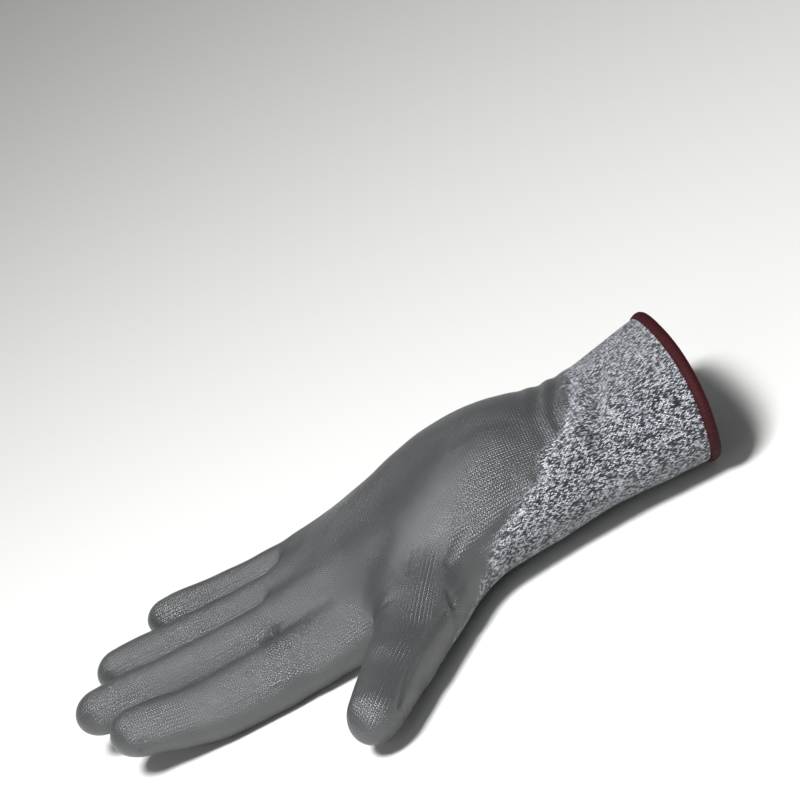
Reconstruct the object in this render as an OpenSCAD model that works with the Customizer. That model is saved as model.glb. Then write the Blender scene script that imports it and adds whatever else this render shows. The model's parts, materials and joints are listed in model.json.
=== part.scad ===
// Cut resistant work glove for the left hand, lying on its back, palm up.
// The shell is knitted in one run of cut resistant yarn. Its palm side is dipped in polyurethane.
// +Y runs from the wrist to the fingertips, +Z out of the palm, +X to the little finger.
// The origin is the middle of the back of the hand, on the surface that the glove lies on.
// The shell is parted where the hand bends: at the wrist, at each finger's three knuckles and at
// the thumb's two. A fold of coated knit fills each wedge that closes as the joint bends.

/* [Hand] */
// From the wrist crease to the fork of the middle finger
palm_l = 125; // [105:1:145]
// Width across the knuckles
palm_w = 88; // [80:1:104]
// Thickness of the heel of the hand
heel_t = 47; // [38:1:54]
// Thickness at the middle of the palm
palm_t = 34; // [28:1:40]
// How far the finger forks fall back from the middle finger to the little finger
fork_fall = 11; // [4:1:16]
// How far the index finger's fork falls back from the middle finger's
index_fall = 2.5; // [0:0.5:6]

/* [Cuff] */
// From the hem to the wrist crease
cuff_l = 40; // [34:1:90]
// Width of the mouth
cuff_w = 80; // [70:1:100]
// Height of the mouth
cuff_t = 46; // [40:1:62]
// Width at the wrist
wrist_w = 68; // [60:1:90]
// Height at the wrist
wrist_t = 41; // [36:1:54]
// How far the back of the wrist arches clear of the surface below it
wrist_lift = 2.5; // [1:0.5:6]
// Sideways place of the wrist, from the middle of the knuckles
wrist_x = -3; // [-10:1:10]
// Sideways shift of the mouth from the wrist
cuff_sweep = 5; // [-15:1:15]
// Width of the overlocked hem
hem_w = 5; // [3:0.5:8]
// Thickness of the overlock thread on each face of the cuff
hem_t = 0.9; // [0.5:0.1:1.5]
// Number of elastic yarns knitted inside the cuff
elastic_n = 7; // [3:1:10]
// Thickness of an elastic yarn
elastic_d = 0.8; // [0.4:0.1:1.2]

/* [Fingers] */
// Length of the index finger past its fork
index_l = 73; // [60:1:90]
// Length of the middle finger past its fork
middle_l = 81; // [66:1:98]
// Length of the ring finger past its fork
ring_l = 75; // [62:1:92]
// Length of the little finger past its fork
little_l = 61; // [50:1:75]
// Outer width of the index finger at its root
index_d = 22.6; // [18:0.1:24]
// Outer width of the middle finger at its root
middle_d = 20.8; // [17:0.1:23]
// Outer width of the ring finger at its root
ring_d = 20; // [16:0.1:22]
// Outer width of the little finger at its root
little_d = 18; // [14:0.1:20]
// Width of a fingertip as a share of the width at its root
tip_taper = 0.85; // [0.7:0.01:0.95]
// Height of the fingers' centre lines at the forks
finger_z = 16; // [14:0.5:20]
// How much lower the index finger lies than the others
index_drop = 4; // [0:0.5:6]
// Angle between neighbouring fingers
finger_spread = 2; // [0:0.5:5]
// Rise of the fingers towards the palm side, in degrees
finger_rise = 1; // [0:0.5:6]

/* [Thumb] */
// From the edge of the palm to the tip of the thumb
thumb_l = 81; // [70:1:100]
// Outer width of the thumb at its first knuckle
thumb_d = 23.5; // [19:0.5:26]
// Outer width where the thumb leaves the palm
thumb_root_d = 34; // [30:0.5:40]
// From the wrist crease to the middle of the thumb's root
thumb_y = 66; // [50:1:76]
// Angle between the thumb and the fingers
thumb_spread = 61; // [40:1:75]
// Turn of the thumb about its own length, from flat towards facing the fingers
thumb_turn = 50; // [0:5:80]

/* [Fabric] */
// Thickness of the knit
knit_t = 1.3; // [0.8:0.1:2]
// Thickness of the polyurethane skin
coat_t = 0.4; // [0.3:0.1:0.8]
// Gap between the skin and the knit, and between the hem and the cuff
skin_gap = 0.1; // [0.05:0.05:0.3]
// Gap between two parts of the shell that move against each other
joint_gap = 0.8; // [0.6:0.1:1.5]

/* [Bending] */
// Most bend of a finger at its root
root_bend = 70; // [40:5:80]
// Most bend at a finger's middle knuckle
middle_bend = 80; // [40:5:90]
// Most bend at a finger's last knuckle
end_bend = 45; // [30:5:60]
// Most bend at the thumb's root
thumb_root_bend = 40; // [20:5:50]
// Most bend at the thumb's knuckle
thumb_end_bend = 60; // [30:5:70]
// Most bend of the wrist either way
wrist_bend = 35; // [20:5:45]

/* [Hidden] */
FINGERS = ["index", "middle", "ring", "little"];

$fn = 48;
KNIT = "#8d9196";
COAT = "#5d6063";
HEM = "#4a1418";
INK = "#c8cacc";
ELASTIC = "#d9d9d4";

wrist_y = -palm_l / 2;
fork_y = palm_l / 2;
wrist_z = (wrist_lift + wrist_t) / 2;

// ---- the fingers' sizes, in the order of FINGERS ----
len_of = [index_l, middle_l, ring_l, little_l];
dia_of = [index_d, middle_d, ring_d, little_d];
// the fingers stand side by side across the palm, and the spaces follow their widths
row_w = index_d + middle_d + ring_d + little_d;
row_margin = 4;
function left_of(i) = i == 0 ? 0 : left_of(i - 1) + dia_of[i - 1];
function finger_x(i) = ((left_of(i) + dia_of[i] / 2) / row_w - 0.5) * (palm_w - row_margin);
// the line of the forks falls away on both sides of the middle finger
function fork_line(x) = fork_y
    - fork_fall * pow(max(0, (x - finger_x(1)) / (finger_x(3) - finger_x(1))), 2)
    - index_fall * pow(max(0, (finger_x(1) - x) / (finger_x(1) - finger_x(0))), 2);
function finger_yaw(i) = (i - 1) * finger_spread;
function finger_height(i) = finger_z - (i == 0 ? index_drop : 0);
// a knuckle's place along a finger: the root, the middle and the last one
first_at = 8.5;
function knuckle_at(i, k) = first_at + (len_of[i] - first_at) * [0, 0.345, 0.665][k];
bends = [root_bend, middle_bend, end_bend];
tip_wrap = 13;

// ---- the thumb's sizes ----
thumb_x = 12 - palm_w / 2;
thumb_z = 17.5;
thumb_fall = 4.5;
thumb_first = 31;
thumb_second = 54;

// ---- curves ----
function ease(t) = let (c = min(1, max(0, t))) c * c * (3 - 2 * c);
function mix(a, b, t) = a + (b - a) * t;
function power(c, e) = sign(c) * pow(abs(c), e);

// ---- sections ----
// A section is a rounded box [left, right, low, high, floor]. Its point at angle a, grown by g,
// is flattened where it would come below the floor.
roundness = 0.84;
around = 48;
function section_point(s, a, g) = let (
        c = power(cos(a), roundness),
        v = power(sin(a), roundness),
        middle = (s[0] + s[1]) / 2,
        mid_z = (s[2] + s[3]) / 2
    ) [
        middle + c * ((s[1] - s[0]) / 2 + g),
        0,
        max(s[4] - g, mid_z + v * ((s[3] - s[2]) / 2 + g))
    ];
// how far the bottom of a section would bulge below the flat
sag = 1.2;
// the back keeps this far off the surface where it carries the printed mark
print_lift = 0.5;
// sections of the cuff, from the hem (t = 0) to the wrist (t = 1)
function cuff_section(t) = let (
        w = mix(cuff_w, wrist_w, ease(t * 1.1)),
        x = wrist_x + cuff_sweep * (1 - t),
        h = mix(cuff_t, wrist_t, ease(t * 1.1)),
        floor = (skin_gap + hem_t) * (1 - t),
        low = mix(floor - sag, wrist_lift, ease(t))
    ) [x - w / 2, x + w / 2, low, h, floor];
// sections of the palm, from the wrist (t = 0) to the forks (t = 1)
function palm_section(t) = let (
        front = ease((t - 0.6) / 0.4),
        w = mix(mix(wrist_w, palm_w, ease(t / 0.5)), palm_w - row_margin, front),
        x = mix(wrist_x, 0, ease(t / 0.5)),
        h = mix(mix(wrist_t, heel_t, ease(t / 0.2)), palm_t, ease((t - 0.28) / 0.45)),
        back = mix(wrist_lift, -sag, ease(t / 0.3)),
        low = mix(back, finger_z - index_drop - index_d / 2, front),
        high = mix(h, finger_z + middle_d / 2 + 1, front),
        floor = print_lift * ease((t - 0.55) / 0.12)
    ) [x - w / 2, x + w / 2, low, high, floor];

// ---- the wrist's wedge ----
wrist_slope = tan(wrist_bend / 2);
wrist_open = 1.6;
function wedge_reach(z) = wrist_open + abs(z - wrist_z) * wrist_slope;

// ---- lofts ----
// Rings of points joined into a closed solid. An end is closed by strips between each point and
// its partner across the ring: twin is 0 where point 0 has no partner, and 1 where it is the last.
module loft(rings, twin = 0) {
    n = len(rings[0]);
    m = len(rings);
    function across_from(j) = (n - twin - j) % n;
    // the strips of the end whose ring begins at point s
    function cap(s) = [
        for (j = [0 : n / 2 - 1 - twin]) let (
            a = across_from(j),
            b = across_from(j + 1)
        ) each [
            if (b != j + 1) [s + j, s + j + 1, s + b],
            if (a != j) [s + j, s + b, s + a]
        ]
    ];
    polyhedron(
        points = [for (r = rings) each r],
        faces = [
            for (i = [0 : m - 2]) for (j = [0 : n - 1])
                let (k = (j + 1) % n)
                each [
                    [i * n + j, i * n + k, (i + 1) * n + k],
                    [i * n + j, (i + 1) * n + k, (i + 1) * n + j]
                ],
            for (f = cap(0)) [f[2], f[1], f[0]],
            for (f = cap((m - 1) * n)) f
        ]
    );
}
// rings of a closed band: the last ring joins the first
module band(rings) {
    n = len(rings[0]);
    m = len(rings);
    polyhedron(
        points = [for (r = rings) each r],
        faces = [
            for (i = [0 : m - 1]) for (j = [0 : n - 1])
                let (k = (j + 1) % n, l = (i + 1) % m)
                each [
                    [i * n + j, i * n + k, l * n + k],
                    [i * n + j, l * n + k, l * n + j]
                ]
        ]
    );
}

palm_steps = 16;
cuff_steps = 8;
// how far the palm's top falls at x, on the way to the lower root of the index finger
function index_lean(t, x) =
    index_drop * ease(-(x + lean_from) / lean_over) * ease((t - 0.6) / 0.4);
lean_from = 6;
lean_over = 24;
// the point of the palm's body, grown by g, at angle a. Its wrist end follows the wedge, and its
// front the fork line.
function palm_point(t, a, g, ahead = 0) = let (
        s = palm_section(t),
        p = section_point(s, a, g),
        y0 = wrist_y + wedge_reach(p[2]),
        y1 = fork_line(p[0]) + ahead
    ) [p[0], mix(y0, y1, t), p[2] - index_lean(t, p[0]) * max(0, p[2]) / s[3]];
function palm_ring(t, g, ahead = 0) = [
    for (j = [0 : around - 1]) palm_point(t, j * 360 / around, g, ahead)
];
module palm_body(g)
    loft([for (i = [0 : palm_steps]) palm_ring(i / palm_steps, g)]);
// the cavity passes out through the wrist's end
module palm_cavity()
    loft([
        [for (p = palm_ring(0, -knit_t)) [p[0], wrist_y - wrist_t, p[2]]],
        for (i = [0 : palm_steps]) palm_ring(i / palm_steps, -knit_t, -knit_t)
    ]);

// the cuff leans to the side with its sweep, and its mouth is square to its own length. ahead
// moves a ring along the cuff
function cuff_ring(t, g, ahead = 0) = [
    for (j = [0 : around - 1]) let (
        p = section_point(cuff_section(t), j * 360 / around, g),
        y0 = wrist_y - cuff_l + (p[0] - wrist_x - cuff_sweep) * cuff_sweep / cuff_l,
        y1 = wrist_y - wedge_reach(p[2])
    ) [p[0], mix(y0, y1, t) + ahead, p[2]]
];

// ---- places ----
// along a finger: local +Y is the finger, +Z its palm side, and the fork is at y = 0
module at_finger(i)
    translate([finger_x(i), fork_line(finger_x(i)), finger_height(i)])
        rotate([finger_rise, 0, -finger_yaw(i)])
            children();
// along the thumb: local +Y is the thumb, and +Z the side of its pad
module at_thumb()
    translate([thumb_x, wrist_y + thumb_y, thumb_z])
        rotate([0, 0, thumb_spread])
            rotate([-thumb_fall, 0, 0])
                rotate([0, thumb_turn, 0])
                    children();

// ---- stalls: the closed tubes that the fingers go in ----
// half of a stall's outline: a straight taper to a round end
module stall_half(r0, r1, l, g) {
    polygon([[0, -l], [r0 + g, -l], [r0 + g, 0], [r1 + g, l - r1], [0, l - r1]]);
    translate([0, l - r1])
        intersection() {
            circle(r = r1 + g);
            square(r1 + g);
        }
}
// the wall between growths g0 and g1, along local Y
module stall_wall(r0, r1, l, g0, g1)
    rotate([-90, 0, 0])
        rotate_extrude()
            difference() {
                stall_half(r0, r1, l, g1);
                stall_half(r0, r1, l, g0);
            }
// a slab across the stall whose outline is given in the finger's own Y and Z
module across(outline, w)
    rotate([90, 0, 90])
        translate([0, 0, -w / 2])
            linear_extrude(w)
                polygon(outline);

// What lies between two knuckles at y0 and y1. The palm side of each end leans back by half
// of what its knuckle bends, and low is how far the piece reaches below the centre line.
function between(y0, bend0, y1, bend1, high, low) = let (
        a = y0 + joint_gap / 2,
        b = y1 - joint_gap / 2
    ) [
        [a, -low], [b, -low], [b, 0], [b - high * tan(bend1 / 2), high],
        [a + high * tan(bend0 / 2), high], [a, 0]
    ];
// the same past the last knuckle, where the skin goes all the way round the tip
function past(y0, bend0, y1, high, low, wrap, under) = let (
        a = y0 + joint_gap / 2
    ) [
        [a, -low], [y1 - wrap, -low], [y1 - wrap, -under], [y1 + 2, -under],
        [y1 + 2, high], [a + high * tan(bend0 / 2), high], [a, 0]
    ];
// the wedge at a knuckle, clear of both its neighbours
function wedge(y, bend, high) = let (
        s = tan(bend / 2),
        z = joint_gap / s
    ) [
        [y - z * s, z], [y + z * s, z], [y + high * s, high], [y - high * s, high]
    ];

// the skin covers the palm side and comes round the sides as far as this share of the radius
side_cover = 0.35;

module stall_piece(r0, r1, l, y0, bend0, y1, bend1) {
    high = r0 + coat_t + 1;
    intersection() {
        stall_wall(r0, r1, l, -knit_t, 0);
        across(between(y0, bend0, y1, bend1, high, high), 3 * r0);
    }
}
module stall_piece_skin(r0, r1, l, y0, bend0, y1, bend1) {
    high = r0 + coat_t + 1;
    intersection() {
        stall_wall(r0, r1, l, skin_gap, skin_gap + coat_t);
        across(between(y0, bend0, y1, bend1, high, r0 * side_cover), 3 * r0);
    }
}
module stall_tip(r0, r1, l, y0, bend0) {
    high = r0 + coat_t + 1;
    intersection() {
        stall_wall(r0, r1, l, -knit_t, 0);
        across(past(y0, bend0, l, high, high, tip_wrap, high), 3 * r0);
    }
}
module stall_tip_skin(r0, r1, l, y0, bend0) {
    high = r0 + coat_t + 1;
    intersection() {
        stall_wall(r0, r1, l, skin_gap, skin_gap + coat_t);
        across(past(y0, bend0, l, high, r0 * side_cover, tip_wrap, high), 3 * r0);
    }
}
module stall_fold(r0, r1, l, y0, bend0) {
    high = r0 + coat_t + 1;
    intersection() {
        stall_wall(r0, r1, l, -knit_t, skin_gap + coat_t);
        across(wedge(y0, bend0, high), 3 * r0);
    }
}

// ---- the pieces of one finger ----
function root_r(i) = dia_of[i] / 2;
function end_r(i) = root_r(i) * tip_taper;
module finger_knit(i, k)
    color(KNIT)
        at_finger(i)
            if (k < 2)
                stall_piece(root_r(i), end_r(i), len_of[i],
                            knuckle_at(i, k), bends[k], knuckle_at(i, k + 1), bends[k + 1]);
            else
                stall_tip(root_r(i), end_r(i), len_of[i], knuckle_at(i, 2), bends[2]);
module finger_coating(i, k)
    color(COAT)
        at_finger(i)
            if (k < 2)
                stall_piece_skin(root_r(i), end_r(i), len_of[i],
                                 knuckle_at(i, k), bends[k], knuckle_at(i, k + 1), bends[k + 1]);
            else
                stall_tip_skin(root_r(i), end_r(i), len_of[i], knuckle_at(i, 2), bends[2]);
module finger_fold(i, k)
    color(COAT)
        at_finger(i)
            stall_fold(root_r(i), end_r(i), len_of[i], knuckle_at(i, k), bends[k]);

// ---- the thumb ----
thumb_r = thumb_d / 2;
thumb_end_r = thumb_r * 0.86;
module thumb_base_knit()
    color(KNIT)
        at_thumb()
            stall_piece(thumb_r, thumb_end_r, thumb_l,
                        thumb_first, thumb_root_bend, thumb_second, thumb_end_bend);
module thumb_base_coating()
    color(COAT)
        at_thumb()
            stall_piece_skin(thumb_r, thumb_end_r, thumb_l,
                             thumb_first, thumb_root_bend, thumb_second, thumb_end_bend);
module thumb_tip_knit()
    color(KNIT)
        at_thumb()
            stall_tip(thumb_r, thumb_end_r, thumb_l, thumb_second, thumb_end_bend);
module thumb_tip_coating()
    color(COAT)
        at_thumb()
            stall_tip_skin(thumb_r, thumb_end_r, thumb_l, thumb_second, thumb_end_bend);
module thumb_fold(y, bend)
    color(COAT)
        at_thumb()
            stall_fold(thumb_r, thumb_end_r, thumb_l, y, bend);

// ---- the hand's body ----
// the short root of each stall, which stays with the palm up to the first knuckle
module finger_root(i, g, ahead) {
    high = root_r(i) + coat_t + 1;
    y1 = first_at - joint_gap / 2 + ahead;
    at_finger(i)
        intersection() {
            rotate([-90, 0, 0])
                translate([0, 0, -fork_fall])
                    cylinder(r = root_r(i) + g, h = fork_fall + y1);
            across([[-fork_fall - 1, -high], [y1, -high], [y1, 0],
                    [y1 - high * tan(root_bend / 2), high], [-fork_fall - 1, high]], 3 * high);
        }
}
module finger_bore(i)
    at_finger(i)
        rotate([-90, 0, 0])
            translate([0, 0, -fork_fall])
                cylinder(r = root_r(i) - knit_t, h = fork_fall + first_at + 1);
// the thumb's root narrows from the palm to the thumb's first knuckle
module thumb_root_cone(g)
    rotate([-90, 0, 0])
        cylinder(r1 = thumb_root_d / 2 + g, r2 = thumb_r + g, h = thumb_first);
module thumb_root(g, low) {
    high = thumb_root_d;
    y1 = thumb_first - joint_gap / 2;
    at_thumb()
        intersection() {
            thumb_root_cone(g);
            across([[-high, -low], [y1, -low], [y1, 0],
                    [y1 - high * tan(thumb_root_bend / 2), high], [-high, high]], 3 * high);
        }
}
module thumb_bore()
    at_thumb()
        thumb_root_cone(-knit_t);

module palm_knit()
    color(KNIT)
        difference() {
            union() {
                palm_body(0);
                for (i = [0 : 3])
                    finger_root(i, 0, 0);
                thumb_root(0, thumb_root_d);
            }
            palm_cavity();
            for (i = [0 : 3])
                finger_bore(i);
            thumb_bore();
        }

// ---- skins laid over the palm's loft ----
// a sheet over part of the palm, from t0 to t1 and between two angles round the section
module palm_patch(t0, t1, a0, a1, g0, g1, steps, turns) {
    function patch_point(u, v, g) = palm_point(mix(t0, t1, u), mix(a0, a1, v), g);
    loft([
        for (i = [0 : steps]) [
            for (j = [0 : turns]) patch_point(i / steps, j / turns, g1),
            for (j = [turns : -1 : 0]) patch_point(i / steps, j / turns, g0)
        ]
    ], twin = 1);
}
// the skin begins two rings from the wrist, and wraps two points round each side
coat_rings = palm_steps - 2;
coat_wrap = 2 * 360 / around;
module palm_coating()
    color(COAT)
        difference() {
            palm_patch(1 - coat_rings / palm_steps, 1, -coat_wrap, 180 + coat_wrap,
                       skin_gap, skin_gap + coat_t, coat_rings, around / 2 + 4);
            for (i = [0 : 3])
                finger_root(i, skin_gap, 2);
            at_thumb()
                thumb_root_cone(skin_gap);
        }

// the skin goes on along the root of the thumb
module thumb_root_coating()
    color(COAT)
        difference() {
            thumb_root(skin_gap + coat_t, thumb_r * side_cover);
            at_thumb()
                thumb_root_cone(skin_gap);
            palm_body(skin_gap + coat_t + 0.1);
        }

// a plain mark of three bars, printed on the back near the knuckles
print_t = 0.25;
module back_print()
    color(INK)
        for (bar = [0 : 2])
            palm_patch(0.74 + bar * 0.06, 0.775 + bar * 0.06, 252 + bar * 5, 288 - bar * 5,
                       skin_gap, skin_gap + print_t, 2, 8);

// ---- the cuff ----
module cuff_knit()
    color(KNIT)
        band([
            for (i = [0 : cuff_steps]) cuff_ring(i / cuff_steps, 0),
            for (i = [cuff_steps : -1 : 0]) cuff_ring(i / cuff_steps, -knit_t)
        ]);
// the hem wraps the raw edge: inside, round the end and back outside
module cuff_hem() {
    t = hem_w / cuff_l;
    near = -knit_t - skin_gap;
    inner = near - hem_t;
    outer = skin_gap + hem_t;
    lip = 0.5;
    color(HEM)
        band([
            cuff_ring(0, skin_gap, -skin_gap), cuff_ring(0, near, -skin_gap),
            cuff_ring(t, near), cuff_ring(t, inner, -lip),
            cuff_ring(0, inner, -lip), cuff_ring(0, inner + lip, -outer),
            cuff_ring(0, outer - lip, -outer), cuff_ring(0, outer, -lip),
            cuff_ring(t, outer, -lip), cuff_ring(t, skin_gap)
        ]);
}
// elastic yarns lie against the inside of the knit
module cuff_elastic() {
    first = 0.25;
    last = 0.8;
    g = -knit_t - skin_gap;
    color(ELASTIC)
        for (i = [0 : elastic_n - 1]) {
            t = mix(first, last, i / (elastic_n - 1));
            t2 = t + elastic_d / cuff_l;
            band([
                cuff_ring(t, g), cuff_ring(t2, g),
                cuff_ring(t2, g - elastic_d), cuff_ring(t, g - elastic_d)
            ]);
        }
}
// the wrist's fold fills the two wedges between the cuff and the palm
fold_gap = 0.4;
module wrist_fold() {
    function edge(side, g) = [
        for (j = [0 : around - 1]) let (
            p = section_point(palm_section(0), j * 360 / around, g)
        ) [p[0], wrist_y + side * (wedge_reach(p[2]) - fold_gap), p[2]]
    ];
    color(KNIT)
        band([edge(-1, 0), edge(1, 0), edge(1, -knit_t), edge(-1, -knit_t)]);
}

palm_knit();
palm_coating();
thumb_root_coating();
back_print();
cuff_knit();
cuff_elastic();
cuff_hem();
wrist_fold();
for (i = [0 : 3]) {
    finger_knit(i, 0);
    finger_coating(i, 0);
    finger_knit(i, 1);
    finger_coating(i, 1);
    finger_knit(i, 2);
    finger_coating(i, 2);
    finger_fold(i, 0);
    finger_fold(i, 1);
    finger_fold(i, 2);
}
thumb_base_knit();
thumb_base_coating();
thumb_tip_knit();
thumb_tip_coating();
thumb_fold(thumb_first, thumb_root_bend);  // thumb_fold_1
thumb_fold(thumb_second, thumb_end_bend);  // thumb_fold_2
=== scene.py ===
"""A coated knit glove, left hand, palm up: built round the part's frame, in metres."""
import bpy
import numpy as np
from mathutils import Matrix, Vector
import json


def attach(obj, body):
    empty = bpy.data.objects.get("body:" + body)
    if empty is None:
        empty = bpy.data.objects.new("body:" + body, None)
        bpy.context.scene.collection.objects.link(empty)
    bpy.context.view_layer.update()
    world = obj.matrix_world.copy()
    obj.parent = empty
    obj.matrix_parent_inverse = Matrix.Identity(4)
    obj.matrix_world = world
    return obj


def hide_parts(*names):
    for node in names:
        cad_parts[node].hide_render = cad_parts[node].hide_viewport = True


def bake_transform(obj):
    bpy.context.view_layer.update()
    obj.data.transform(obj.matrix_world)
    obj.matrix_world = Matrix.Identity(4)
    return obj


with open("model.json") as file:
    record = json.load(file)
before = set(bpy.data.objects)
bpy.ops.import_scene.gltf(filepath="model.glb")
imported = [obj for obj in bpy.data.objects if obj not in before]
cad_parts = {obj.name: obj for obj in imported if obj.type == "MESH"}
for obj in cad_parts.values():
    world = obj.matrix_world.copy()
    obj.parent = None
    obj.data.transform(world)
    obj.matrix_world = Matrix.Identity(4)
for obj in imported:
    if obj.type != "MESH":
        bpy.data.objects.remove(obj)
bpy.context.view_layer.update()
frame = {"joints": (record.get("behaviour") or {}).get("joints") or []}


# ---- Studio -----------------------------------------------------------------------------------
# The glove lies palm up on a plain pale table, under one soft light overhead and a weak one
# behind the camera. The camera stands at the thumb's side, above the table.
MM = 0.001
FLOOR_HEX = "#e0e0de"
FLOOR_SIZE = 14.0
AIR_HEX, AIR_STRENGTH = "#f4f5f7", 0.17
CAMERA_AT = Vector((-977.7, -78.8, 508.3)) * MM
CAMERA_RIGHT = Vector((-0.1418, -0.8833, -0.4469))
CAMERA_UP = Vector((0.3887, -0.4649, 0.7955))
SENSOR = 36.0
LENS = 138.1


def linear(hex_colour):
    """An sRGB hex colour as linear RGBA: ((c + 0.055) / 1.055) ** 2.4, or c / 12.92 when dark."""
    c = np.array([int(hex_colour[i:i + 2], 16) for i in (1, 3, 5)]) / 255
    c = np.where(c <= 0.04045, c / 12.92, ((c + 0.055) / 1.055) ** 2.4)
    return (*(float(v) for v in c), 1.0)


def new_material(name):
    """An empty node material with its output, and its node tree."""
    material = bpy.data.materials.new(name)
    material.use_nodes = True
    material.node_tree.nodes.clear()
    return material, material.node_tree


def add(tree, kind, settings=None, **sockets):
    """Adds a shader node. settings are its own properties, or the operation alone. sockets are
    inputs by name, with _ for a space, or i0, i1 ... by number: a value is set, and an output
    socket is linked, as is another node's first output."""
    node = tree.nodes.new("ShaderNode" + kind)
    if isinstance(settings, str):
        settings = {"operation": settings}
    for key, value in (settings or {}).items():
        setattr(node, key, value)
    for key, value in sockets.items():
        number = key[0] == "i" and key[1:].isdigit()
        socket = node.inputs[int(key[1:]) if number else key.replace("_", " ")]
        if isinstance(value, bpy.types.Node):
            value = value.outputs[0]
        if isinstance(value, bpy.types.NodeSocket):
            tree.links.new(value, socket)
        else:
            socket.default_value = value
    return node


def aimed_light(name, at, size, power, target=(0.0, 0.02, 0.02)):
    """A square area light at a place in metres, turned to face the target."""
    data = bpy.data.lights.new(name, "AREA")
    data.shape = "SQUARE"
    data.size = size
    data.energy = power
    lamp = bpy.data.objects.new(name, data)
    bpy.context.scene.collection.objects.link(lamp)
    lamp.location = at
    lamp.rotation_euler = (Vector(target) - Vector(at)).to_track_quat("-Z", "Y").to_euler()


camera_data = bpy.data.cameras.new("camera")
camera_data.sensor_width = SENSOR
camera_data.lens = LENS
camera_data.clip_start = 0.05
camera = bpy.data.objects.new("camera", camera_data)
bpy.context.scene.collection.objects.link(camera)
right = CAMERA_RIGHT.normalized()
back = right.cross(CAMERA_UP).normalized()
up = back.cross(right)
camera.matrix_world = Matrix.LocRotScale(
    CAMERA_AT, Matrix((right, up, back)).transposed(), None)
bpy.context.scene.camera = camera

floor_mesh = bpy.data.meshes.new("floor")
half = FLOOR_SIZE / 2
floor_mesh.from_pydata([(-half, -half, 0), (half, -half, 0), (half, half, 0), (-half, half, 0)],
                       [], [(0, 1, 2, 3)])
floor = bpy.data.objects.new("floor", floor_mesh)
bpy.context.scene.collection.objects.link(floor)
paper, tree = new_material("matt_background_paper")
shader = add(tree, "BsdfPrincipled", Base_Color=linear(FLOOR_HEX), Roughness=0.9)
add(tree, "OutputMaterial", Surface=shader)
floor_mesh.materials.append(paper)

world = bpy.data.worlds.new("studio")
bpy.context.scene.world = world
world.use_nodes = True
world.node_tree.nodes["Background"].inputs["Color"].default_value = linear(AIR_HEX)
world.node_tree.nodes["Background"].inputs["Strength"].default_value = AIR_STRENGTH
aimed_light("overhead", (-0.46, 0.26, 1.02), size=0.28, power=20.0)
aimed_light("camera_side", (-1.0, 0.5, 0.55), size=0.5, power=1.5)
bpy.context.scene.view_settings.view_transform = "Standard"


# ---- Shape of the knitted shell ---------------------------------------------------------------
# The shell is knitted in one piece on a flat machine, as tubes that join: four finger stalls and a
# thumb stall open into the palm tube, which narrows at the wrist and widens again to the cuff.
# Its outside is one closed form here, so that every piece cut from it meets the next exactly.
# All lengths in this section are millimetres.
FORK_Y = 62.5
HEM_Y = -102.5
FORK_FALL, INDEX_FALL = 11.0, 2.5
FINGERS = ("index", "middle", "ring", "little")
# one row a finger: root x, y and z, length, root diameter, rise of the tip
STALLS = np.array([(-30.3, 60.0, 12.0, 70.8, 22.4, 4.6),
                   (-7.95, 62.5, 16.0, 80.4, 20.8, 1.6),
                   (13.1, 59.55, 16.0, 73.6, 20.0, 1.0),
                   (32.7, 51.5, 16.0, 59.4, 18.0, 1.2)])
INDEX_FULL = 0.8
FINGER_DOME, THUMB_DOME = 1.12, 1.1  # length of a dome in radii of its tip
SPREAD = np.radians([-2.0, 0.0, 2.0, 4.0])
RISE = np.tan(np.radians(1.0))
# stations along Y: y, centre x, half width, lowest z, highest z
STATIONS = np.array([(-110.0, 2.6, 40.5, 0.0, 46.5), (-102.5, 2.0, 40.0, 0.2, 46.2),
                     (-92.0, 0.8, 38.6, 0.8, 45.4), (-80.0, -0.8, 36.6, 1.6, 44.0),
                     (-70.0, -2.0, 35.0, 2.4, 43.0), (-62.5, -2.6, 34.6, 2.6, 42.8),
                     (-55.0, -2.8, 34.8, 2.1, 43.6), (-46.0, -2.4, 35.9, 1.0, 45.8),
                     (-36.0, -1.8, 37.9, 0.3, 47.4), (-24.0, -1.0, 40.6, 0.2, 47.2),
                     (-12.0, -0.3, 42.8, 0.2, 45.2), (0.0, 0.0, 43.9, 0.2, 41.6),
                     (12.5, 0.0, 44.0, 0.3, 37.2), (28.0, 0.4, 43.5, 0.8, 32.6),
                     (40.0, 0.8, 42.8, 1.9, 29.2), (52.0, 1.2, 42.4, 3.4, 26.2),
                     (64.0, 1.2, 42.2, 4.6, 24.6), (80.0, 1.2, 42.2, 5.0, 24.0)])
SECTION_POWER = 2.38
TABLE_GAP = 0.3
THUMB_AT = np.array([-32.0, 3.5, 17.5])
THUMB_SPREAD, THUMB_FALL, THUMB_TURN = np.radians([61.0, -4.5, 50.0])
THUMB_LENGTH = 79.6
THUMB_CURL = 2.2
# stations along the thumb: distance, radius
THUMB_RADII = np.array([(-14.0, 17.4), (0.0, 17.2), (12.0, 16.2), (22.0, 14.6), (31.0, 13.0),
                        (40.0, 12.2), (47.0, 11.8), (55.0, 10.6), (63.0, 10.3), (71.0, 10.1),
                        (82.0, 9.6)])


def ease(t):
    """0 below 0 and 1 above 1, and 3 t^2 - 2 t^3 between them."""
    t = np.clip(t, 0, 1)
    return t * t * (3 - 2 * t)


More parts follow.
